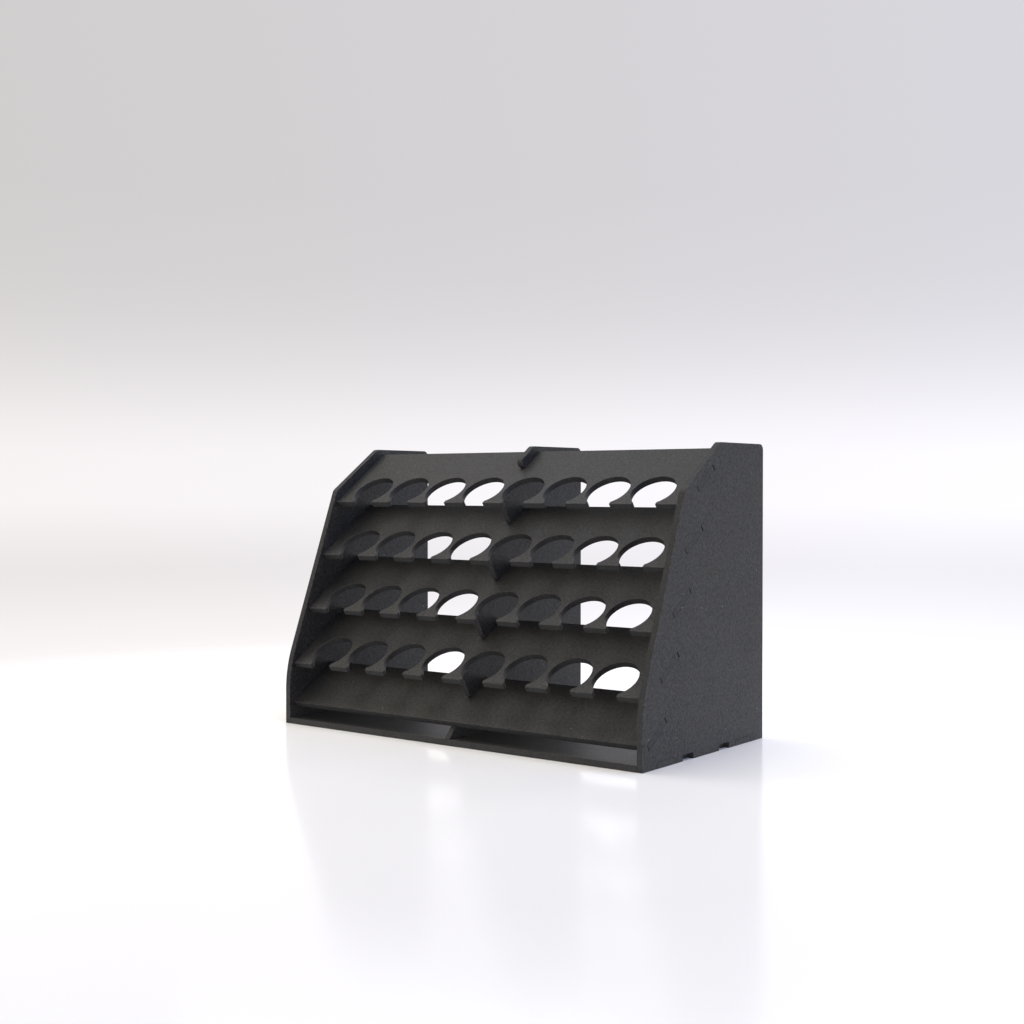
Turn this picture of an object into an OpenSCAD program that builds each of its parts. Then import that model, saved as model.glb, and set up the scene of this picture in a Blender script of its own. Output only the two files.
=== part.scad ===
// Stepped paint rack of interlocking sheet boards.
// Four sloping boards with a row of bottle holes each and a plain bottom board
// span two side panels and a middle divider that stand on a base plate.
// X runs along the rows, Y from the front to the back and Z up.
// The origin is at the middle of the footprint, on the floor.

/* [Bottle holes] */
// Diameter of a bottle hole
bottle_hole_d = 26; // [20:0.5:36]
// Narrowest web between two neighbouring holes of a row
hole_web = 3; // [2:0.25:8]
// Narrowest web between the holes of two rows, seen square to the boards
row_web = 2.5; // [1:0.25:8]
// Number of holes in each half of a row, one half on each side of the divider
holes_per_half = 4; // [2:1:5]
// How far each hole reaches past the lower edge of its board
hole_breakout = 0.2; // [0:0.1:2.5]
// Width of the mouth that opens the hole at the lower edge
mouth_w = 14.9; // [12:0.1:17]
// Web from the rim of the outermost hole to the side panel
end_web = 8.8; // [5:0.1:20]

/* [Boards] */
// Thickness of the sheet that every piece is cut from
board_t = 3.5; // [2.5:0.1:5]
// Slope of the boards against the floor, in degrees
board_tilt = 34.9; // [31:0.1:38]
// Length of a bottle board up its slope
board_len = 53; // [48:0.5:62]
// How much shorter the plain bottom board is, at its lower edge
bottom_trim = 15.1; // [10:0.1:15.8]
// Distance from the face of one board to the face of the next, square to them
row_gap = 19.5; // [15:0.1:26]

/* [Side panels] */
// Depth of the rack from front to back
rack_d = 127.4; // [118:0.1:180]
// Height of the panels over the upper edge of the top board
top_margin = 3; // [1:0.1:12]
// From the front of the rack to the lower edge of the lowest bottle board
toe_margin = 3.4; // [2:0.1:9]
// From the lower edges of the boards to the sloping front of the panels
front_margin = 1.95; // [1:0.05:6]
// Height of the panels' upper front edge over the face of the top board, which it runs along
brow_margin = 5.5; // [4:0.1:10]
// Radius that joins the upright toe and the sloping front
toe_r = 70; // [20:1:90]
// Radius of the bend between the sloping front and the upper edge
knee_r = 5; // [1:0.5:12]
// Radius of the upper front corner
top_front_r = 5; // [1:0.5:8]
// Radius of the upper back corner
top_back_r = 3.5; // [0.5:0.5:8]

/* [Tenons] */
// Length of the board tenons that show in the side panels
tenon_len = 20.6; // [8:0.2:24]
// From the lower edge of a board to its tenon, up the slope
tenon_start = 16.1; // [15.9:0.1:20]
// Length of the tenons of the base plate and of the divider's foot
foot_tenon_len = 17.4; // [8:0.2:20]
// From the front or the back of the rack to the middle of a foot tenon
foot_tenon_inset = 22.8; // [16:0.2:28]
// Open gap at each end of a tenon
tenon_end_gap = 0.3; // [0.1:0.05:1]
// Gap on each face of a tenon, and of a board in the divider
fit_gap = 0.08; // [0.02:0.01:0.2]

/* [Divider] */
// From the lower edge of a board to the finger that lies on its face
finger_start = 34.6; // [30:0.1:35]
// From the lower edge of a board to the divider under it
web_start = 7.2; // [3:0.1:15]
// Radius of the finger tips
finger_r = 2.2; // [0.5:0.1:2.8]
// From the lower edge of a board to the bottom of its cross halving
halving_at = 40; // [38.6:0.1:46]

/* [Base] */
// Height of the open tray between the base plate and the bottom board
tray_gap = 6.4; // [3:0.1:15]
// Width of the two open notches in the foot of each side panel
foot_notch_w = 10.9; // [4:0.1:16]
// Height of those notches
foot_notch_h = 3.3; // [2:0.1:8]
// From the front or the back of the rack to the middle of a notch
foot_notch_inset = 44.5; // [42:0.1:48]
// From the front of the rack to the foot of the divider
divider_inset = 0; // [0:0.1:3]

/* [Hidden] */

// Bottle boards, counted from the top, with the plain bottom board as one row more
bottle_rows = 4;
bottom_row = bottle_rows;
hole_fn = 96;
corner_steps = 12;
// Overshoot of a cut past the face that it opens
cut_past = 1;
// Sheet material of the whole rack
sheet_colour = [0.17, 0.17, 0.18];

hole_r = bottle_hole_d / 2;
hole_pitch = bottle_hole_d + hole_web;
// The rows step down the slope by the diameter of a bottle and a web, too
row_step = bottle_hole_d + row_web;
// From the lower edge of a board to the centres of its holes
hole_up = hole_r - hole_breakout;
inner_w = (2 * holes_per_half - 1) * hole_pitch + bottle_hole_d + 2 * end_web;
rack_w = inner_w + 2 * board_t;
front_y = -rack_d / 2;
back_y = rack_d / 2;

// Directions in the side view, as [y, z]: up a board, and out of its face
slope_up = [cos(board_tilt), sin(board_tilt)];
face_out = [-sin(board_tilt), cos(board_tilt)];
// From the lower edge of one board to that of the board above it
row_rise = row_step * slope_up + row_gap * face_out;

// Lower edge of each board's face, from the toe and the tray upwards
lowest_z = board_t + tray_gap - bottom_trim * slope_up[1] + board_t * face_out[1];
top_edge = [front_y + toe_margin + (bottle_rows - 1) * row_rise[0], lowest_z + bottom_row * row_rise[1]];
function lower_edge(row) = top_edge - row * row_rise;
// Point in the side view at a distance up a board and over its face
function on_board(row, up, over = 0) = lower_edge(row) + up * slope_up + over * face_out;
rack_h = on_board(0, board_len)[1] + top_margin;

// Sloping front of the panels, parallel to the line of the lower edges
front_up = row_rise / norm(row_rise);
front_out = [-front_up[1], front_up[0]];
front_line = top_edge + front_margin * front_out;
brow_line = on_board(0, 0, brow_margin);

// Crossing of two lines in the side view, each a point and a direction
function meet(p, d, q, e) = p + d * cross(q - p, e) / cross(d, e);
toe = meet(front_line, front_up, [front_y, 0], [0, 1]);
knee = meet(front_line, front_up, brow_line, slope_up);
brow_top = meet(brow_line, slope_up, [0, rack_h], [1, 0]);

// Corner p between a and b as an arc of radius r, or the bare point where r is 0
function unit(v) = v / norm(v);
function arc_corner(a, p, b, r) =
    let (to_a = unit(a - p), to_b = unit(b - p), half = acos(to_a * to_b) / 2)
    let (centre = p + unit(to_a + to_b) * r / sin(half), first = p + to_a * r / tan(half) - centre)
    let (start = atan2(first[1], first[0]), turn = sign(cross(p - a, b - p)) * (180 - 2 * half))
    r == 0 ? [p] : [for (i = [0 : corner_steps])
        let (angle = start + turn * i / corner_steps)
        centre + r * [cos(angle), sin(angle)]];
// Outline from a list of [point, radius]
function rounded(corners) =
    let (n = len(corners))
    [for (i = [0 : n - 1])
        each arc_corner(corners[(i + n - 1) % n][0], corners[i][0], corners[(i + 1) % n][0], corners[i][1])];

// Side view of a panel, anticlockwise from its lower front corner
panel_corners = [
    [[front_y, 0], 0],
    [[back_y, 0], 0],
    [[back_y, rack_h], top_back_r],
    [brow_top, top_front_r],
    [knee, knee_r],
    [toe, toe_r]];

// Side view of the divider: the back of a panel, and in front a finger over each board,
// the halving that takes the board, and the web that runs on to the board below
finger_face = fit_gap;
web_face = -board_t - fit_gap;
// The top finger leans as the webs between the boards do
web_lean = on_board(0, web_start, web_face) - on_board(1, finger_start, finger_face);
top_finger_end = meet(brow_line, slope_up, on_board(0, finger_start), web_lean);
top_finger_h = norm(top_finger_end - on_board(0, finger_start, finger_face));
top_finger_r = min(finger_r, 0.45 * top_finger_h);
bottom_web_start = bottom_trim + divider_inset;
function halving(row, web) = [
    [on_board(row, halving_at, finger_face), 0],
    [on_board(row, halving_at, web_face), 0],
    [on_board(row, web, web_face), 0]];
divider_corners = concat(
    [[[front_y + divider_inset, board_t], 0],
     [[back_y, board_t], 0],
     [[back_y, rack_h], top_back_r],
     [brow_top, top_front_r],
     [top_finger_end, top_finger_r]],
    [for (row = [0 : bottom_row]) each concat(
        [[on_board(row, finger_start, finger_face), row == 0 ? top_finger_r : finger_r]],
        halving(row, row == bottom_row ? bottom_web_start : web_start))]);

foot_tenon_ys = [front_y + foot_tenon_inset, back_y - foot_tenon_inset];
foot_notch_ys = [front_y + foot_notch_inset, back_y - foot_notch_inset];
hole_count = 2 * holes_per_half;

// Plate of the sheet's thickness from a side view, with its left face at x
module upright_plate(x) {
    translate([x, 0, 0])
        rotate([90, 0, 90])
            linear_extrude(board_t)
                children();
}

// Rectangle in a side view on the floor line, centred at y
module foot_cut(y, width, height) {
    translate([y - width / 2, -cut_past])
        square([width, height + cut_past]);
}

// Slanted mortise in a side panel for the tenon of one board
module tenon_slot(row) {
    translate(lower_edge(row))
        rotate(board_tilt)
            translate([tenon_start - tenon_end_gap, -board_t - fit_gap])
                square([tenon_len + 2 * tenon_end_gap, board_t + 2 * fit_gap]);
}

module side_panel(x) {
    color(sheet_colour)
        upright_plate(x)
            difference() {
                polygon(rounded(panel_corners));
                for (row = [0 : bottom_row])
                    tenon_slot(row);
                for (y = foot_tenon_ys)
                    foot_cut(y, foot_tenon_len + 2 * tenon_end_gap, board_t + fit_gap);
                for (y = foot_notch_ys)
                    foot_cut(y, foot_notch_w, foot_notch_h);
            }
}

module left_side_panel() {
    side_panel(-rack_w / 2);
}

module right_side_panel() {
    side_panel(rack_w / 2 - board_t);
}

module middle_divider() {
    color(sheet_colour)
        upright_plate(-board_t / 2)
            union() {
                polygon(rounded(divider_corners));
                for (y = foot_tenon_ys)
                    translate([y - foot_tenon_len / 2, 0])
                        square([foot_tenon_len, board_t + cut_past]);
            }
}

module base_plate() {
    color(sheet_colour)
        linear_extrude(board_t)
            difference() {
                union() {
                    translate([-inner_w / 2, front_y])
                        square([inner_w, rack_d]);
                    for (y = foot_tenon_ys)
                        translate([-rack_w / 2, y - foot_tenon_len / 2])
                            square([rack_w, foot_tenon_len]);
                }
                for (y = foot_tenon_ys)
                    translate([-board_t / 2 - fit_gap, y - foot_tenon_len / 2 - tenon_end_gap])
                        square([board_t + 2 * fit_gap, foot_tenon_len + 2 * tenon_end_gap]);
            }
}

// Round hole that breaks out of the lower edge through a narrower mouth
module bottle_cut() {
    translate([0, hole_up])
        circle(d = bottle_hole_d, $fn = hole_fn);
    translate([-mouth_w / 2, -cut_past])
        square([mouth_w, hole_up + cut_past]);
}

// Board of one row, flat with its face up, from a distance over the row's lower edge
module flat_board(from) {
    difference() {
        union() {
            translate([-inner_w / 2, from])
                square([inner_w, board_len - from]);
            translate([-rack_w / 2, tenon_start])
                square([rack_w, tenon_len]);
        }
        translate([-board_t / 2 - fit_gap, halving_at])
            square([board_t + 2 * fit_gap, board_len - halving_at + cut_past]);
        children();
    }
}

module in_row(row) {
    translate([0, lower_edge(row)[0], lower_edge(row)[1]])
        rotate([board_tilt, 0, 0])
            translate([0, 0, -board_t])
                linear_extrude(board_t)
                    children();
}

module bottle_board(row) {
    color(sheet_colour)
        in_row(row)
            flat_board(0)
                for (i = [0 : hole_count - 1])
                    translate([(i - (hole_count - 1) / 2) * hole_pitch, 0])
                        bottle_cut();
}

module bottom_board() {
    color(sheet_colour)
        in_row(bottom_row)
            flat_board(bottom_trim);
}

left_side_panel();
right_side_panel();
middle_divider();
base_plate();
bottle_board(0);  // bottle_board_1
bottle_board(1);  // bottle_board_2
bottle_board(2);  // bottle_board_3
bottle_board(3);  // bottle_board_4
bottom_board();
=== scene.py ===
"""Looks of a stepped paint rack: nine interlocking boards of dark charcoal fibreboard.

Every board is one closed surface: an arris profile carried along the outline of the cut, with a flat cap
on each face. Outlines are numpy arrays in the plane of their board, in metres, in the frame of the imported
model.
"""

import bpy
import numpy as np
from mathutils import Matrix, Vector
from mathutils.geometry import delaunay_2d_cdt


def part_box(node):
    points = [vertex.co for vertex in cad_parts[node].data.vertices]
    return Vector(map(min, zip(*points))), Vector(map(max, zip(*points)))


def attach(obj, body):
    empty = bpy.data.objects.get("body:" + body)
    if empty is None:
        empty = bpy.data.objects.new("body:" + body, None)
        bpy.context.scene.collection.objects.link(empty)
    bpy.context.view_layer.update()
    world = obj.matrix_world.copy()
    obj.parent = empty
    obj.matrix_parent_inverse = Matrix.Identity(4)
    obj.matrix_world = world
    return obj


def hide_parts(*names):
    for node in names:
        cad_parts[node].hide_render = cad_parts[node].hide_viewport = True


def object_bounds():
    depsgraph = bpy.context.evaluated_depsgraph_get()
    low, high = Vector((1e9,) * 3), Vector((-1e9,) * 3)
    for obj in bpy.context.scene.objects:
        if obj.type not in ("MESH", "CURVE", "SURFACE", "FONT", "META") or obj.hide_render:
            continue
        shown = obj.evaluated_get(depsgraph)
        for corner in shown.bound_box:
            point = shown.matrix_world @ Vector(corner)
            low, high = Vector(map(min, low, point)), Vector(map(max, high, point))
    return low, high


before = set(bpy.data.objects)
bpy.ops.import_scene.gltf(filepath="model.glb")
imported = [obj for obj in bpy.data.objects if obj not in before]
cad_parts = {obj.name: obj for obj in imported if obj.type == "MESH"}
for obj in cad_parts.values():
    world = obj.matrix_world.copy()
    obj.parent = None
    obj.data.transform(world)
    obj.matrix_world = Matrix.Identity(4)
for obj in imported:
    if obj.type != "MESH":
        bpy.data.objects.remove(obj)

cad_low, cad_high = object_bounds()
MM = 0.001

# Sizes taken from the frame
rack_w = cad_high.x - cad_low.x
front_y = cad_low.y
back_y = cad_high.y
rack_h = cad_high.z
panel_low, panel_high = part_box("left_side_panel")
board_t = panel_high.x - panel_low.x
inner_w = rack_w - 2 * board_t

# Bottle holes
hole_d = 26 * MM
hole_pitch = 29 * MM
hole_count = 8
hole_breakout = 0.2 * MM
mouth_w = 14.9 * MM
hole_r = hole_d / 2
hole_up = hole_r - hole_breakout

# Sloping boards, measured up the slope from the lower edge
board_tilt = np.radians(34.9)
board_len = 53 * MM
bottom_trim = 15.1 * MM
halving_at = 40 * MM
slope_up = np.array([np.cos(board_tilt), np.sin(board_tilt)])
face_out = np.array([-np.sin(board_tilt), np.cos(board_tilt)])

# Tenons and their gaps
tenon_start = 16.1 * MM
tenon_len = 20.6 * MM
foot_tenon_len = 17.4 * MM
foot_tenon_inset = 22.8 * MM
end_gap = 0.3 * MM
fit_gap = 0.08 * MM

# Side panels
front_margin = 1.95 * MM
brow_margin = 5.5 * MM
toe_r = 70 * MM
knee_r = 5 * MM
top_front_r = 5 * MM
top_back_r = 3.5 * MM
foot_notch_w = 10.9 * MM
foot_notch_h = 3.3 * MM
foot_notch_inset = 44.5 * MM

# Divider
finger_start = 34.6 * MM
web_start = 7.2 * MM
finger_r = 2.2 * MM

# Finish of the cut sheet
arris_r = 0.28 * MM
joint_arris_r = 0.15 * MM
corner_r = 0.3 * MM
joint_corner_r = corner_r / 2
tenon_corner_r = 1.0 * MM
tip_round_share = 0.45
arris_steps = 4
corner_steps = 12
small_corner_steps = 6
hole_steps = 144
least_mitre_cosine = 0.5
cap_grid = 5 * MM
cap_clearance = cap_grid / 3
cap_tolerance = 1e-9
inside_triangles = 1

# What counts as part of a joint
foot_edge_h = 0.2 * MM
past_panel_by = 0.5 * MM
touching = 0.05 * MM

# Charcoal finish. Noise scales are in cells for each metre, and pairs are a low and a high end
board_specular = 0.36
cut_rough = 0.58
noise_turn = (0.52, 0.37, 0.81)
noise_span = (0.3, 0.7)
relief_strength = 0.35
face_relief = 0.06 * MM
cut_relief = 0.08 * MM
speckle_scale, speckle_detail, speckle_rough = 700, 6, 0.75
cloud_scale, cloud_detail, cloud_rough = 42, 3, 0.6
cloud_tones = (0.9, 1.1)
cloud_gloss = (0.94, 1.06)
speckle_gloss = (1.1, 0.9)
fibre_span = (0.36, 0.64)
fibre_contrast = 0.85
fleck_scale = 190
fleck_edge = (0.04, 0.1)
fleck_rarity = 0.72
fleck_gain = 6
streak_scale = (1500, 170, 1)
streak_detail, streak_rough = 3, 0.6
streak_tones = (0.72, 1.22)
streak_gloss = (1.1, 0.92)
cut_speckle_scale, cut_speckle_detail, cut_speckle_rough = 600, 6, 0.7
cut_speckle_tones = (0.8, 1.2)
core_tones = (1.06, 0.9)

FACE, CUT, ARRIS = 0, 1, 2
BOTTLE_ROWS = ["bottle_board_1", "bottle_board_2", "bottle_board_3", "bottle_board_4"]


def lower_edge(node):
    """Lower edge of a board's face in the side view: the front of its box, and its foot raised by the
    upright share of the thickness."""
    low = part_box(node)[0]
    return np.array([low.y, low.z + board_t * face_out[1]])


row_edges = [lower_edge(node) for node in BOTTLE_ROWS]
row_rise = row_edges[0] - row_edges[1]
row_edges.append(row_edges[3] - row_rise)
bottom_row = len(BOTTLE_ROWS)


def on_board(row, up, over=0.0):
    """Point of the side view that lies a distance up a board and over its face."""
    return row_edges[row] + up * slope_up + over * face_out


def unit(v):
    return v / np.linalg.norm(v, axis=-1, keepdims=True)


def cross(a, b):
    return a[..., 0] * b[..., 1] - a[..., 1] * b[..., 0]


def meet(p, d, q, e):
    """Crossing of two lines, each a point and a direction."""
    return p + d * cross(q - p, e) / cross(d, e)


def rounded(corners, radii=corner_r, steps=corner_steps):
    """Closed outline from corner points. Each corner becomes an arc that touches both of its edges: the
    centre lies on the bisector at radius over the sine of the half angle, and the points turn about it in
    equal steps."""
    p = np.array(corners, float)
    r = np.broadcast_to(np.asarray(radii, float), len(p))[:, None]
    back = unit(np.roll(p, 1, 0) - p)
    ahead = unit(np.roll(p, -1, 0) - p)
    half = np.arccos(np.clip((back * ahead).sum(1), -1, 1))[:, None] / 2
    centre = p + unit(back + ahead) * r / np.sin(half)
    first = p + back * r / np.tan(half) - centre
    turn = np.sign(cross(-back, ahead))[:, None] * (np.pi - 2 * half)
    angle = np.linspace(0, 1, steps + 1) * turn
    x = np.cos(angle) * first[:, :1] - np.sin(angle) * first[:, 1:]
    y = np.sin(angle) * first[:, :1] + np.cos(angle) * first[:, 1:]
    return (centre[:, None] + np.stack([x, y], -1)).reshape(-1, 2)


def arc(centre, radius, start, end, steps):
    """Points on a circle at equal angles from start to end, in degrees."""
    angle = np.radians(np.linspace(start, end, steps + 1))
    return np.array(centre) + radius * np.stack([np.cos(angle), np.sin(angle)], -1)


def inside(points, ring):
    """Which points lie inside a closed ring, by counting the edges to the right of each."""
    a, b = ring, np.roll(ring, -1, 0)
    x, y = points[:, :1], points[:, 1:]
    spans = (a[:, 1] > y) != (b[:, 1] > y)
    rise = np.where(b[:, 1] == a[:, 1], 1, b[:, 1] - a[:, 1])
    crossing = a[:, 0] + (y - a[:, 1]) * (b[:, 0] - a[:, 0]) / rise
    return (spans & (crossing > x)).sum(1) % 2 == 1


def on_face(points, rings):
    """Which points lie inside the outer ring and outside the inner rings."""
    keep = inside(points, rings[0])
    for ring in rings[1:]:
        keep &= ~inside(points, ring)
    return keep


def cap_triangles(rings):
    """Triangles between an outer ring and its inner rings: a constrained Delaunay net over the ring points
    and an even grid of points in between, none of them on the ends of the grid, so that no edge of the wall
    is split. Returns the extra points and the triangles' indices."""
    points = np.concatenate(rings)
    low, high = rings[0].min(0), rings[0].max(0)
    nx, ny = np.maximum(np.round((high - low) / cap_grid).astype(int), 2)
    xs = np.linspace(low[0], high[0], nx + 1)[1:-1]
    ys = np.linspace(low[1], high[1], ny + 1)[1:-1]
    gx, gy = np.meshgrid(xs, ys)
    grid = np.stack([gx.ravel(), gy.ravel()], -1)
    near = np.linalg.norm(grid[:, None] - points[None], axis=-1).min(1)
    grid = grid[on_face(grid, rings) & (near > cap_clearance)]
    sizes = [len(ring) for ring in rings]
    starts = np.cumsum([0] + sizes[:-1])
    edges = np.concatenate([
        start + np.stack([np.arange(size), np.roll(np.arange(size), -1)], -1)
        for start, size in zip(starts, sizes)])
    everything = np.concatenate([points, grid])
    places = [Vector(p) for p in everything.tolist()]
    found = delaunay_2d_cdt(places, edges.tolist(), [], inside_triangles, cap_tolerance)
    triangles = np.array(found[2])
    middle = everything[triangles].mean(1)
    return grid, triangles[on_face(middle, rings)]


def sheet_piece(name, rings, arrises, origin, across, along):
    """Closed board of the sheet: wall(i, j) = ring point i, moved into the board by its arris radius times
    the inset of step j, at the height of step j. Inset and height follow a quarter circle at each face, and
    caps close both faces. The outer ring runs anticlockwise and inner rings clockwise, so the board lies to
    the left of every ring. The shading normal turns along the quarter circle, from square to a face to
    square to the cut, so that faces and cuts shade flat."""
    origin, across, along = (np.array(v, float) for v in (origin, across, along))
    out = np.cross(across, along)
    turn = np.linspace(0, np.pi / 2, arris_steps + 1)
    inset = np.concatenate([1 - np.sin(turn), 1 - np.sin(turn[::-1])])
    drop = np.concatenate([-(1 - np.cos(turn)), 1 - np.cos(turn[::-1])])
    outward_share = np.concatenate([np.sin(turn), np.sin(turn[::-1])])
    face_share = np.concatenate([np.cos(turn), -np.cos(turn[::-1])])
    face_height = np.repeat([board_t, 0.0], arris_steps + 1)
    steps = len(inset)

    grids, facings, uvs, quads = [], [], [], []
    finishes, first_rows, last_rows = [], [], []
    count = 0
    for ring, arris in zip(rings, arrises):
        arris = np.broadcast_to(arris, len(ring))
        ahead = unit(np.roll(ring, -1, 0) - ring)
        behind = np.roll(ahead, 1, 0)
        bisector = unit(ahead + behind)
        outward = np.stack([bisector[:, 1], -bisector[:, 0]], -1)
        cosine = (bisector * ahead).sum(1, keepdims=True)
        mitre = outward / np.maximum(cosine, least_mitre_cosine)
        grid = ring[None] - inset[:, None, None] * (arris[:, None] * mitre)[None]
        height = face_height[:, None] + drop[:, None] * arris
        grids.append(np.concatenate([grid, height[..., None]], -1))
        lift = np.broadcast_to(face_share[:, None, None], (steps, len(ring), 1))
        facings.append(np.concatenate([outward_share[:, None, None] * outward, lift], -1).reshape(-1, 3))
        n = len(ring)
        i, j = np.meshgrid(np.arange(n), np.arange(steps - 1))
        nxt = (i + 1) % n
        corners = [j * n + i, (j + 1) * n + i, (j + 1) * n + nxt, j * n + nxt]
        quads.append((count + np.stack(corners, -1)).reshape(-1, 4))
        run = np.concatenate([[0], np.cumsum(np.linalg.norm(np.roll(ring, -1, 0) - ring, axis=1))])
        uvs.append(np.stack([
            np.stack([run[i], height[j, i]], -1), np.stack([run[i], height[j + 1, i]], -1),
            np.stack([run[i + 1], height[j + 1, nxt]], -1), np.stack([run[i + 1], height[j, nxt]], -1)],
            -2).reshape(-1, 2))
        finishes.append(np.where(j == arris_steps, CUT, ARRIS).ravel())
        first_rows.append(count + np.arange(n))
        last_rows.append(count + (steps - 1) * n + np.arange(n))
        count += steps * n
    wall = np.concatenate([g.reshape(-1, 3) for g in grids])
    grid, triangles = cap_triangles([g[0, :, :2] for g in grids])
    top = np.concatenate(first_rows + [count + np.arange(len(grid))])
    bottom = np.concatenate(last_rows + [count + len(grid) + np.arange(len(grid))])
    face_points = np.concatenate([
        np.c_[grid, np.full(len(grid), board_t)],
        np.c_[grid, np.zeros(len(grid))]])
    local = np.concatenate([wall, face_points])
    up_facing = np.tile([0.0, 0.0, 1.0], (len(grid), 1))
    facing = np.concatenate(facings + [up_facing, -up_facing])
    tris = np.concatenate([top[triangles], bottom[triangles[:, ::-1]]])
    quads = np.concatenate(quads)
    space = origin + local[:, :1] * across + local[:, 1:2] * along + local[:, 2:] * out
    normals = facing[:, :1] * across + facing[:, 1:2] * along + facing[:, 2:] * out

    mesh = bpy.data.meshes.new(name)
    mesh.from_pydata(space.tolist(), [], quads.tolist() + tris.tolist())
    mesh.polygons.foreach_set("use_smooth", np.ones(len(quads) + len(tris), bool))
    finish = np.concatenate(finishes + [np.full(len(tris), FACE)])
    mesh.polygons.foreach_set("material_index", finish.astype(np.int32))
    uv = np.concatenate([np.concatenate(uvs), local[tris.ravel(), :2]])
    mesh.uv_layers.new(name="sheet").uv.foreach_set("vector", uv.astype(np.float32).ravel())
    mesh.update()
    mesh.normals_split_custom_set_from_vertices(normals.tolist())
    piece = bpy.data.objects.new(name, mesh)
    bpy.context.scene.collection.objects.link(piece)
    return piece


def block(low, high):
    """Rectangle as four corners, anticlockwise."""
    return [(low[0], low[1]), (high[0], low[1]), (high[0], high[1]), (low[0], high[1])]


foot_tenon_ys = [front_y + foot_tenon_inset, back_y - foot_tenon_inset]
foot_notch_ys = [front_y + foot_notch_inset, back_y - foot_notch_inset]


def foot_cut(y, width, height):
    """Corners of a rectangular cut in a bottom edge, on the way from the front to the back."""
    return [(y - width / 2, 0), (y - width / 2, height), (y + width / 2, height), (y + width / 2, 0)]


front_up = unit(row_rise)
front_out = np.array([-front_up[1], front_up[0]])
front_line = row_edges[0] + front_margin * front_out
brow_line = on_board(0, 0, brow_margin)
toe = meet(front_line, front_up, np.array([front_y, 0]), np.array([0, 1.0]))
knee = meet(front_line, front_up, brow_line, slope_up)
brow_top = meet(brow_line, slope_up, np.array([0, rack_h]), np.array([1.0, 0]))


def side_panel_rings():
    """Outline of a side panel in the side view, with its foot cuts, and the mortises of the five boards."""
    tenon_cut = (foot_tenon_len + 2 * end_gap, board_t + fit_gap)
    notch = (foot_notch_w, foot_notch_h)
    foot = (foot_cut(foot_tenon_ys[0], *tenon_cut) + foot_cut(foot_notch_ys[0], *notch)
            + foot_cut(foot_notch_ys[1], *notch) + foot_cut(foot_tenon_ys[1], *tenon_cut))
    corners = [(front_y, 0)] + foot + [(back_y, 0), (back_y, rack_h), brow_top, knee, toe]
    radii = [corner_r] * (len(foot) + 2) + [top_back_r, top_front_r, knee_r, toe_r]
    low, high = tenon_start - end_gap, tenon_start + tenon_len + end_gap
    mortises = [
        [on_board(row, up, over) for up, over in (
            (low, fit_gap), (high, fit_gap), (high, -board_t - fit_gap), (low, -board_t - fit_gap))]
        for row in range(bottom_row + 1)]
    return [rounded(corners, radii)] + [rounded(m, joint_corner_r, small_corner_steps) for m in mortises]


def divider_rings():
    """Outline of the divider: a panel's back and brow, a finger over each board, the halving that takes the
    board and the web that runs on to the board below, and two foot tenons."""
    over, under = fit_gap, -board_t - fit_gap
    lean = on_board(0, web_start, under) - on_board(1, finger_start, over)
    tip = meet(brow_line, slope_up, on_board(0, finger_start), lean)
    tip_len = np.linalg.norm(tip - on_board(0, finger_start, over))
    tip_r = min(finger_r, tip_round_share * tip_len)
    corners = [(front_y, board_t)]
    for y in foot_tenon_ys:
        corners += [(y - foot_tenon_len / 2, board_t), (y - foot_tenon_len / 2, 0),
                    (y + foot_tenon_len / 2, 0), (y + foot_tenon_len / 2, board_t)]
    corners += [(back_y, board_t), (back_y, rack_h), brow_top, tip]
    radii = [corner_r] * (len(corners) - 3) + [top_back_r, top_front_r, tip_r]
    for row in range(bottom_row + 1):
        web = bottom_trim if row == bottom_row else web_start
        corners += [on_board(row, finger_start, over), on_board(row, halving_at, over),
                    on_board(row, halving_at, under), on_board(row, web, under)]
        radii += [finger_r if row else tip_r, joint_corner_r, joint_corner_r, corner_r]
    return [rounded(corners, radii)]


def hole_run():
    """Run of the lower edge through one bottle hole, from left to right: a rounded tab corner, the circle
    from one side of the mouth over the top to the other, and the next tab's corner."""
    half_mouth = mouth_w / 2
    mouth = np.degrees(np.arcsin(half_mouth / hole_r))
    left = arc((-half_mouth - corner_r, corner_r), corner_r, -90, 0, small_corner_steps)
    circle = arc((0, hole_up), hole_r, -90 - mouth, mouth - 450, hole_steps)
    right = arc((half_mouth + corner_r, corner_r), corner_r, 180, 270, small_corner_steps)
    return np.concatenate([left, circle, right])


def sloping_board_rings(lower, holes):
    """Outline of a sloping board in its own plane: x along the row and up the slope from the row's lower
    edge, with a tenon at each end, the halving slot in the upper edge and the hole runs in the lower
    edge."""
    half, end, slot = inner_w / 2, rack_w / 2, board_t / 2 + fit_gap
    tenon = (tenon_start, tenon_start + tenon_len)
    right = [(half, lower), (half, tenon[0]), (end, tenon[0]), (end, tenon[1]), (half, tenon[1]),
             (half, board_len), (slot, board_len), (slot, halving_at)]
    left = [(-x, up) for x, up in right[::-1]]
    radii = [corner_r, corner_r, tenon_corner_r, tenon_corner_r] + [corner_r] * 4
    outline = rounded(right + left, radii + radii[::-1])
    if not holes:
        return [outline]
    xs = (np.arange(hole_count) - (hole_count - 1) / 2) * hole_pitch
    runs = hole_run()[None] + np.stack([xs, 0 * xs], -1)[:, None]
    return [np.concatenate([outline, runs.reshape(-1, 2)])]


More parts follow.
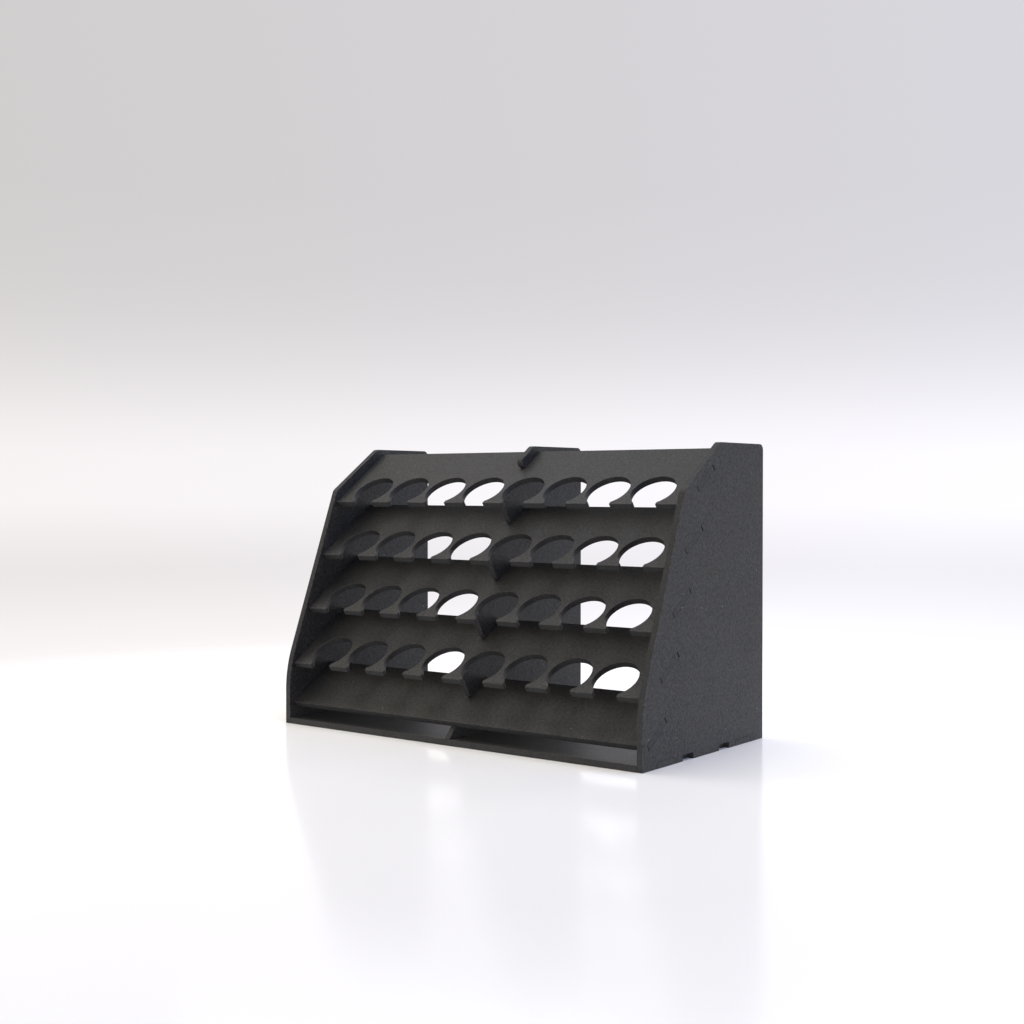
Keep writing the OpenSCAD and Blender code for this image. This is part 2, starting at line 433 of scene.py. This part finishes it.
def base_rings():
    """Outline of the base plate from above, with two tenons on each side, and the divider's two slots."""
    half, end, slot = inner_w / 2, rack_w / 2, board_t / 2 + fit_gap
    right = [(half, front_y)]
    for y in foot_tenon_ys:
        right += [(half, y - foot_tenon_len / 2), (end, y - foot_tenon_len / 2),
                  (end, y + foot_tenon_len / 2), (half, y + foot_tenon_len / 2)]
    right += [(half, back_y)]
    left = [(-x, y) for x, y in right[::-1]]
    slots = [block((-slot, y - foot_tenon_len / 2 - end_gap), (slot, y + foot_tenon_len / 2 + end_gap))
             for y in foot_tenon_ys]
    return [rounded(right + left)] + [
        rounded(s[::-1], joint_corner_r, small_corner_steps) for s in slots]


def add(tree, kind, inputs, **settings):
    """New shader node, with its settings, whose inputs each take a value or another node's output."""
    node = tree.nodes.new("ShaderNode" + kind)
    for key, value in settings.items():
        setattr(node, key, value)
    for key, value in inputs.items():
        if isinstance(value, bpy.types.NodeSocket):
            tree.links.new(value, node.inputs[key])
        else:
            node.inputs[key].default_value = value
    return node


def spread(tree, value, low, high, to_low, to_high):
    """Value mapped evenly from one range to another, and held at its ends."""
    return add(tree, "MapRange", {"Value": value, "From Min": low, "From Max": high,
                                  "To Min": to_low, "To Max": to_high}).outputs["Result"]


def maths(tree, operation, *values):
    """Result of one operation on values or outputs."""
    return add(tree, "Math", dict(enumerate(values)), operation=operation).outputs["Value"]


def times(tree, a, b):
    return maths(tree, "MULTIPLY", a, b)


def noise(tree, place, scale, detail, roughness):
    """Layered noise over a place, from 0 to 1."""
    inputs = {"Vector": place, "Scale": scale, "Detail": detail, "Roughness": roughness}
    return add(tree, "TexNoise", inputs).outputs["Fac"]


def ramp(tree, value, stops):
    """Colour ramp through stops of position and colour."""
    node = add(tree, "ValToRGB", {"Fac": value})
    elements = node.color_ramp.elements
    elements[0].position, elements[0].color = stops[0][0], (*stops[0][1], 1)
    elements[1].position, elements[1].color = stops[-1][0], (*stops[-1][1], 1)
    for position, colour in stops[1:-1]:
        elements.new(position).color = (*colour, 1)
    return node.outputs["Color"]


def principled(name):
    material = bpy.data.materials.new(name)
    material.use_nodes = True
    shader = material.node_tree.nodes["Principled BSDF"]
    shader.inputs["Specular IOR Level"].default_value = board_specular
    return material, material.node_tree, shader


def shade(tree, shader, tone, value, roughness, relief, depth):
    """Colour of the board times a value, with its roughness and a fine relief."""
    colour = add(tree, "VectorMath", {0: tone, "Scale": value}, operation="SCALE").outputs["Vector"]
    tree.links.new(colour, shader.inputs["Base Color"])
    tree.links.new(roughness, shader.inputs["Roughness"])
    bump = add(tree, "Bump", {"Height": relief, "Strength": relief_strength, "Distance": depth})
    tree.links.new(bump.outputs["Normal"], shader.inputs["Normal"])


def turned_place(tree):
    """Place in the rack, turned off the axes so that no board cuts the noise along its own net."""
    place = add(tree, "TexCoord", {}).outputs["Object"]
    return add(tree, "Mapping", {"Vector": place, "Rotation": noise_turn}).outputs["Vector"]


def charcoal_face(name, tone, rough, grain):
    """Face of the charcoal board: fibre speckle about a millimetre across over soft clouds, with a few pale
    fibre flecks, a roughness that follows both and a faint relief. The grain scales speckle and flecks."""
    material, tree, shader = principled(name)
    place = turned_place(tree)
    speckle = noise(tree, place, speckle_scale, speckle_detail, speckle_rough)
    clouds = noise(tree, place, cloud_scale, cloud_detail, cloud_rough)
    cells = add(tree, "TexVoronoi", {"Vector": place, "Scale": fleck_scale})
    near_fleck = spread(tree, cells.outputs["Distance"], *fleck_edge, 1, 0)
    chosen = maths(tree, "GREATER_THAN", cells.outputs["Color"], fleck_rarity)
    contrast = fibre_contrast * grain
    fibres = spread(tree, speckle, *fibre_span, 1 - contrast, 1 + contrast)
    value = times(tree, fibres, spread(tree, clouds, *noise_span, *cloud_tones))
    value = maths(tree, "MULTIPLY_ADD", times(tree, near_fleck, chosen), fleck_gain * grain, value)
    sheen = times(tree, spread(tree, clouds, *noise_span, *cloud_gloss),
                  spread(tree, speckle, *noise_span, *speckle_gloss))
    shade(tree, shader, tone, value, times(tree, sheen, rough), speckle, face_relief)
    return material


def charcoal_cut(name, tone, rough):
    """Cut edge of the charcoal board, on its own map of run and height: fine saw streaks across the
    thickness, a fibre speckle, and a core slightly lighter than the edges at the faces."""
    material, tree, shader = principled(name)
    sheet = add(tree, "UVMap", {}, uv_map="sheet").outputs["UV"]
    drawn = add(tree, "Mapping", {"Vector": sheet, "Scale": streak_scale}).outputs["Vector"]
    streaks = noise(tree, drawn, 1, streak_detail, streak_rough)
    place = turned_place(tree)
    speckle = noise(tree, place, cut_speckle_scale, cut_speckle_detail, cut_speckle_rough)
    height = add(tree, "SeparateXYZ", {"Vector": sheet}).outputs["Y"]
    off_core = maths(tree, "ABSOLUTE", maths(tree, "SUBTRACT", height, board_t / 2))
    value = times(tree, spread(tree, streaks, *noise_span, *streak_tones),
                  spread(tree, speckle, *noise_span, *cut_speckle_tones))
    value = times(tree, value, spread(tree, off_core, 0, board_t / 2, *core_tones))
    roughness = times(tree, spread(tree, streaks, *noise_span, *streak_gloss), rough)
    shade(tree, shader, tone, value, roughness, streaks, cut_relief)
    return material


def board_finish(name, tone, rough, cut_share, wear_and_highlight_share, grain):
    """Face, cut edge and arris of one board, in the order of their numbers. The tone is that of the face,
    and the two shares scale it for the cut and the arris; the arris share paints the arris lighter than the
    face, partly for wear along the edges and partly as a painted highlight on the edge."""
    cut = tuple(cut_share * c for c in tone)
    wear_and_highlight = tuple(wear_and_highlight_share * c for c in tone)
    return [charcoal_face(f"charcoal_{name}_face", tone, rough, grain),
            charcoal_cut(f"charcoal_{name}_cut", cut, cut_rough),
            charcoal_face(f"charcoal_{name}_arris", wear_and_highlight, rough, grain)]


# The arris shares paint each arris lighter than its face: partly wear along the edges, partly a painted
# highlight on the edge.
FINISHES = {
    "panel_board": board_finish(
        "panel", tone=(0.0180, 0.0182, 0.0185), rough=0.5, cut_share=1.6, wear_and_highlight_share=2.0, grain=1.1),
    "base_board": board_finish(
        "base", tone=(0.0230, 0.0230, 0.0230), rough=0.49, cut_share=1.35, wear_and_highlight_share=1.35, grain=0.6),
    "sloping_board": board_finish(
        "row", tone=(0.0252, 0.0251, 0.0249), rough=0.5, cut_share=0.95, wear_and_highlight_share=1.35, grain=0.65)}


def dress(piece, node, slot):
    """Finishes a piece and lets it stand for its node, on the one body."""
    for finish in FINISHES[slot]:
        piece.data.materials.append(finish)
    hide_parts(node)
    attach(piece, "root")


def arris_of(ring, joint):
    """Arris radius of every ring point: small where the point belongs to a joint."""
    return np.where(joint(ring[:, 0], ring[:, 1]), joint_arris_r, arris_r)


x_axis, y_axis, z_axis = np.eye(3)
up_board = np.array([0, *slope_up])
out_board = np.array([0, *face_out])
panel_rings = side_panel_rings()
tenon_top = board_t + 2 * fit_gap


def at_foot_cut(y, z):
    """Inside a foot tenon's cut or a foot notch, where the base plate meets the panel."""
    off_tenon = np.abs(np.abs(y) - back_y + foot_tenon_inset)
    off_notch = np.abs(np.abs(y) - back_y + foot_notch_inset)
    at_tenon = off_tenon < foot_tenon_len / 2 + 2 * end_gap
    at_notch = off_notch < foot_notch_w / 2 + 2 * end_gap
    near = at_tenon | at_notch
    return (z > foot_edge_h) & (z < tenon_top) & near


def past_panel(x, along):
    """On a tenon, beyond a panel's inner face."""
    return np.abs(x) > inner_w / 2 + past_panel_by


def at_panel(x, along):
    """On a tenon or against a panel's inner face."""
    return np.abs(x) > inner_w / 2 - touching


panel_arrises = [arris_of(panel_rings[0], at_foot_cut)] + [joint_arris_r] * (len(panel_rings) - 1)
for side, x in (("left", -rack_w / 2), ("right", rack_w / 2 - board_t)):
    dress(sheet_piece(f"{side}_panel_sheet", panel_rings, panel_arrises, x * x_axis, y_axis, z_axis),
          f"{side}_side_panel", "panel_board")
dress(sheet_piece("divider_sheet", divider_rings(), [arris_r], -board_t / 2 * x_axis, y_axis, z_axis),
      "middle_divider", "panel_board")
plate_rings = base_rings()
plate_arrises = [arris_of(plate_rings[0], at_panel), joint_arris_r, joint_arris_r]
dress(sheet_piece("base_sheet", plate_rings, plate_arrises, 0 * x_axis, x_axis, y_axis),
      "base_plate", "base_board")
holed_rings = sloping_board_rings(0.0, True)
holed_arrises = [arris_of(holed_rings[0], past_panel)]
row_words = ["top", "second", "third", "fourth"]
for row, node in enumerate(BOTTLE_ROWS):
    origin = np.array([0, *row_edges[row]]) - board_t * out_board
    dress(sheet_piece(f"{row_words[row]}_bottle_row", holed_rings, holed_arrises, origin, x_axis, up_board),
          node, "sloping_board")
origin = np.array([0, *row_edges[bottom_row]]) - board_t * out_board
plain_rings = sloping_board_rings(bottom_trim, False)
plain_arrises = [arris_of(plain_rings[0], past_panel)]
dress(sheet_piece("bottom_rest", plain_rings, plain_arrises, origin, x_axis, up_board),
      "bottom_board", "sloping_board")


# Stage. Stops are a position and a tone: by the side that the backdrop lies on, by the floor's distance
# as a share of its reach, and by the rise of the view
TINT_STOPS = [(0.08, (0.905, 0.87, 0.875)), (0.355, (0.97, 0.96, 1.02)), (0.6, (0.97, 0.96, 1.0))]
FLOOR_STOPS = [
    (0.0, 1.12), (0.038, 1.12), (0.052, 1.045), (0.072, 1.007), (0.086, 0.978), (0.103, 0.957),
    (0.125, 0.934), (0.154, 0.925), (0.192, 0.94), (0.25, 0.96), (0.338, 0.983), (0.49, 1.012), (1.0, 1.04)]
SKY_STOPS = [
    (0.0, 1.04), (0.025, 1.03), (0.045, 0.98), (0.065, 0.91), (0.091, 0.83), (0.118, 0.77), (0.146, 0.735),
    (0.2, 0.71), (0.35, 0.71), (0.65, 0.0)]
floor_reach = 12.0
floor_tone = (0.84, 0.84, 0.84, 1)
floor_ior = 1.4
floor_rough = 0.14
pool_middle = (0.09, -0.12, 0)
pool_fade = (0.2, 0.66)
camera_lens = 50
camera_sensor = 36
camera_place = (0.502882, -0.662123, 0.141244)
camera_turn = (89.078, 0, 37.403)


def side_tint(tree, direction):
    """Tint of the backdrop by the side that it lies on: warm to the left and cool to the right."""
    x = add(tree, "SeparateXYZ", {"Vector": direction}).outputs["X"]
    return ramp(tree, spread(tree, x, -1, 1, 0, 1), TINT_STOPS)


def tinted(tree, tones, direction):
    tint = side_tint(tree, direction)
    return add(tree, "VectorMath", {0: tones, 1: tint}, operation="MULTIPLY").outputs["Vector"]


def grey(stops):
    return [(position, (value, value, value)) for position, value in stops]


# Pale glossy floor: a lit pool about the rack and in front of it, running out into the tone of the backdrop
floor_mesh = bpy.data.meshes.new("floor")
floor_corners = block((-floor_reach, -floor_reach), (floor_reach, floor_reach))
floor_mesh.from_pydata([(x, y, 0) for x, y in floor_corners], [], [(0, 1, 2, 3)])
floor = bpy.data.objects.new("floor", floor_mesh)
bpy.context.scene.collection.objects.link(floor)
floor_finish = bpy.data.materials.new("pale_floor")
floor_finish.use_nodes = True
tree = floor_finish.node_tree
tree.nodes.clear()
place = add(tree, "TexCoord", {}).outputs["Object"]
distance = add(tree, "VectorMath", {0: place}, operation="LENGTH").outputs["Value"]
direction = add(tree, "VectorMath", {0: place}, operation="NORMALIZE").outputs["Vector"]
far_tones = ramp(tree, spread(tree, distance, 0, floor_reach, 0, 1), grey(FLOOR_STOPS))
far_glow = add(tree, "Emission", {"Color": tinted(tree, far_tones, direction)}).outputs["Emission"]
rays = add(tree, "LightPath", {})
seen = maths(tree, "MAXIMUM", rays.outputs["Is Camera Ray"], rays.outputs["Is Glossy Ray"])
seen = maths(tree, "MAXIMUM", seen, rays.outputs["Is Transmission Ray"])
matt = add(tree, "BsdfDiffuse", {"Color": floor_tone}).outputs["BSDF"]
glance = add(tree, "Fresnel", {"IOR": floor_ior}).outputs["Fac"]
polish = add(tree, "BsdfGlossy", {"Color": glance, "Roughness": floor_rough}).outputs["BSDF"]
lit = add(tree, "AddShader", {0: matt, 1: polish}).outputs["Shader"]
off_pool = add(tree, "VectorMath", {0: place, 1: pool_middle}, operation="DISTANCE").outputs["Value"]
far = times(tree, spread(tree, off_pool, *pool_fade, 0, 1), seen)
surface = add(tree, "MixShader", {"Fac": far, 1: lit, 2: far_glow}).outputs["Shader"]
add(tree, "OutputMaterial", {"Surface": surface})
floor_mesh.materials.append(floor_finish)

# Backdrop: bright at the horizon, paler grey above and dark overhead, where the softboxes hang
world = bpy.data.worlds.new("studio")
bpy.context.scene.world = world
world.use_nodes = True
tree = world.node_tree
direction = add(tree, "TexCoord", {}).outputs["Generated"]
rise = add(tree, "SeparateXYZ", {"Vector": direction}).outputs["Z"]
sky_tones = ramp(tree, rise, grey(SKY_STOPS))
backdrop = tree.nodes["Background"]
tree.links.new(tinted(tree, sky_tones, direction), backdrop.inputs["Color"])
backdrop.inputs["Strength"].default_value = 1.0

# Softboxes around the rack, each aimed at its middle: distance in metres, azimuth and elevation in degrees,
# width and height as shares of the distance, light as watts for each square metre of distance, and colour
rack_middle = np.array([0, 0, rack_h / 2])
SOFTBOXES = {
    "low_front_right_softbox": (2.5, 330, 14, 0.64, 0.44, 1.30, (0.783, 0.759, 1.0)),
    "right_softbox": (2.5, 18, 38, 0.64, 0.56, 2.43, (0.206, 0.397, 1.0)),
    "back_softbox": (2.5, 90, 38, 0.64, 0.56, 2.43, (1.0, 0.978, 0.976)),
    "back_left_softbox": (2.5, 126, 38, 0.64, 0.56, 0.81, (0.954, 0.943, 1.0)),
    "left_softbox": (0.9, 198, 38, 0.64, 0.56, 1.90, (1.0, 0.898, 0.685)),
    "high_right_softbox": (2.5, 0, 64, 0.64, 0.64, 2.10, (1.0, 0.956, 0.893)),
    "high_left_softbox": (0.8, 180, 64, 0.64, 0.64, 1.88, (0.962, 0.951, 1.0)),
    "high_front_softbox": (2.5, 270, 64, 0.64, 0.64, 1.38, (1.0, 0.795, 0.398)),
    "overhead_softbox": (2.5, 0, 90, 0.72, 0.72, 2.95, (0.953, 0.981, 1.0))}
for name, (distance, azimuth, elevation, width, height, power, colour) in SOFTBOXES.items():
    turn, lift = np.radians(azimuth), np.radians(elevation)
    away = np.array([np.cos(lift) * np.cos(turn), np.cos(lift) * np.sin(turn), np.sin(lift)])
    light = bpy.data.lights.new(name, "AREA")
    light.shape = "RECTANGLE"
    light.size, light.size_y = width * distance, height * distance
    light.energy = power * distance ** 2
    light.color = colour
    softbox = bpy.data.objects.new(name, light)
    softbox.location = rack_middle + distance * away
    softbox.rotation_euler = Vector(away).to_track_quat("Z", "Y").to_euler()
    softbox.visible_camera = False
    bpy.context.scene.collection.objects.link(softbox)

# Camera at the photograph's viewing angle
camera_data = bpy.data.cameras.new("camera")
camera_data.lens = camera_lens
camera_data.sensor_width = camera_sensor
camera = bpy.data.objects.new("camera", camera_data)
camera.location = camera_place
camera.rotation_euler = np.radians(camera_turn)
bpy.context.scene.collection.objects.link(camera)
bpy.context.scene.camera = camera
bpy.context.scene.view_settings.view_transform = "Standard"
